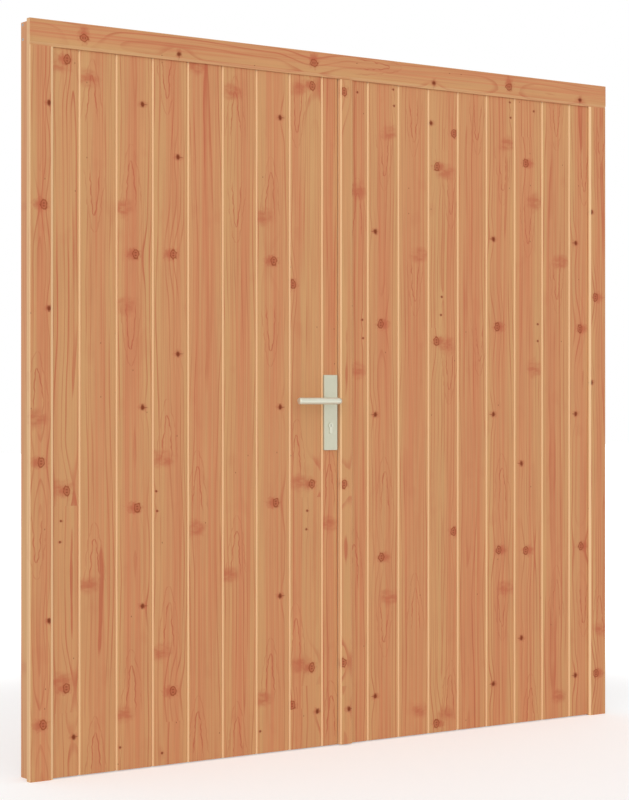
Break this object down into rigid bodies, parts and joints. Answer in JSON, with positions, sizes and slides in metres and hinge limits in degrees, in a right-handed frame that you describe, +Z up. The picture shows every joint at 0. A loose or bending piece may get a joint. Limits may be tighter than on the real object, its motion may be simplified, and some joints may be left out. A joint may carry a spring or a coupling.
{
  "type": "double wooden gate",
  "caption": "Double gate of vertical tongue and groove boards in a rebated timber frame with casing boards, a meeting strip, a lever handle and a cylinder lock.",
  "frame": {"origin": "on the floor, midway between the casing boards and on the middle plane of the leaves", "axes": "+X along the gate from the active leaf to the passive leaf, +Y from the boarded front to the framed back, +Z up"},
  "size_m": [2.1, 0.18, 2.05],
  "materials": {
    "board_wood": "planed, knotty, unpainted",
    "casing_wood": "planed, knotty, unpainted",
    "frame_wood": "planed, unpainted",
    "satin_handle_metal": "satin anodised",
    "cylinder_metal": "satin nickel plated",
    "zinc_hardware": "zinc plated",
    "plain_steel": "plain"
  },
  "bodies": {
    "frame": {"left_post": "frame_wood", "right_post": "frame_wood", "head_rail": "frame_wood", "left_casing": "casing_wood", "right_casing": "casing_wood", "top_casing": "casing_wood", "post_hinge_plates": "zinc_hardware", "hinge_pins": "zinc_hardware", "frame_screws": "plain_steel", "head_keep": "zinc_hardware"},
    "active_leaf": {"active_board_1": "board_wood", "active_board_2": "board_wood", "active_board_3": "board_wood", "active_board_4": "board_wood", "active_board_5": "board_wood", "active_board_6": "board_wood", "active_board_7": "board_wood", "active_board_8": "board_wood", "active_board_9": "board_wood", "active_hinge_stile": "frame_wood", "active_meeting_stile": "frame_wood", "active_top_rail": "frame_wood", "active_middle_rail": "frame_wood", "active_bottom_rail": "frame_wood", "active_braces": "frame_wood", "active_hinge_straps": "zinc_hardware", "active_screws": "plain_steel", "outer_handle_plate": "satin_handle_metal", "inner_handle_plate": "satin_handle_metal", "lock_case": "plain_steel", "lock_cylinder": "cylinder_metal", "handle_bolts": "satin_handle_metal"},
    "passive_leaf": {"passive_board_1": "board_wood", "passive_board_2": "board_wood", "passive_board_3": "board_wood", "passive_board_4": "board_wood", "passive_board_5": "board_wood", "passive_board_6": "board_wood", "passive_board_7": "board_wood", "passive_board_8": "board_wood", "passive_board_9": "board_wood", "passive_hinge_stile": "frame_wood", "passive_meeting_stile": "frame_wood", "passive_top_rail": "frame_wood", "passive_middle_rail": "frame_wood", "passive_bottom_rail": "frame_wood", "passive_braces": "frame_wood", "passive_hinge_straps": "zinc_hardware", "passive_screws": "plain_steel", "meeting_strip": "board_wood", "strike_plate": "plain_steel", "slide_bolt_guides": "zinc_hardware"},
    "lever_set": {"outer_lever": "satin_handle_metal", "inner_lever": "satin_handle_metal", "spindle": "plain_steel"},
    "latch": {"latch_bolt": "plain_steel"},
    "key": {"key_plug": "cylinder_metal"},
    "dead_bolt": {"dead_bolt": "plain_steel"},
    "top_bolt": {"top_slide_bolt": "zinc_hardware"},
    "bottom_bolt": {"bottom_slide_bolt": "zinc_hardware"}
  },
  "joints": [
    {"name": "active_leaf_swing", "type": "hinge", "parent": "frame", "child": "active_leaf", "pos_m": [-0.9885, 0.0305, 1], "axis": [0, 0, 1], "range_deg": [0, 100]},
    {"name": "passive_leaf_swing", "type": "hinge", "parent": "frame", "child": "passive_leaf", "pos_m": [0.9885, 0.0305, 1], "axis": [0, 0, -1], "range_deg": [0, 100]},
    {"name": "lever_turn", "type": "hinge", "parent": "active_leaf", "child": "lever_set", "pos_m": [-0.0565, 0, 1.022], "axis": [0, -1, 0], "range_deg": [0, 40], "stiffness_Nm_per_rad": 1.2, "springref_deg": -34.38},
    {"name": "latch_slide", "type": "slide", "parent": "active_leaf", "child": "latch", "axis": [1, 0, 0], "range_m": [-0.0125, 0]},
    {"name": "key_turn", "type": "hinge", "parent": "active_leaf", "child": "key", "pos_m": [-0.0565, 0, 0.95], "axis": [0, 1, 0], "range_deg": [0, 365]},
    {"name": "dead_bolt_slide", "type": "slide", "parent": "active_leaf", "child": "dead_bolt", "axis": [1, 0, 0], "range_m": [0, 0.02]},
    {"name": "top_bolt_slide", "type": "slide", "parent": "passive_leaf", "child": "top_bolt", "axis": [0, 0, 1], "range_m": [0, 0.025]},
    {"name": "bottom_bolt_slide", "type": "slide", "parent": "passive_leaf", "child": "bottom_bolt", "axis": [0, 0, -1], "range_m": [0, 0.025]}
  ],
  "couplings": [
    {"joint": "latch_slide", "follows": "lever_turn", "m_per_rad": -0.01764},
    {"joint": "key_turn", "follows": "dead_bolt_slide", "rad_per_m": 314.16}
  ]
}
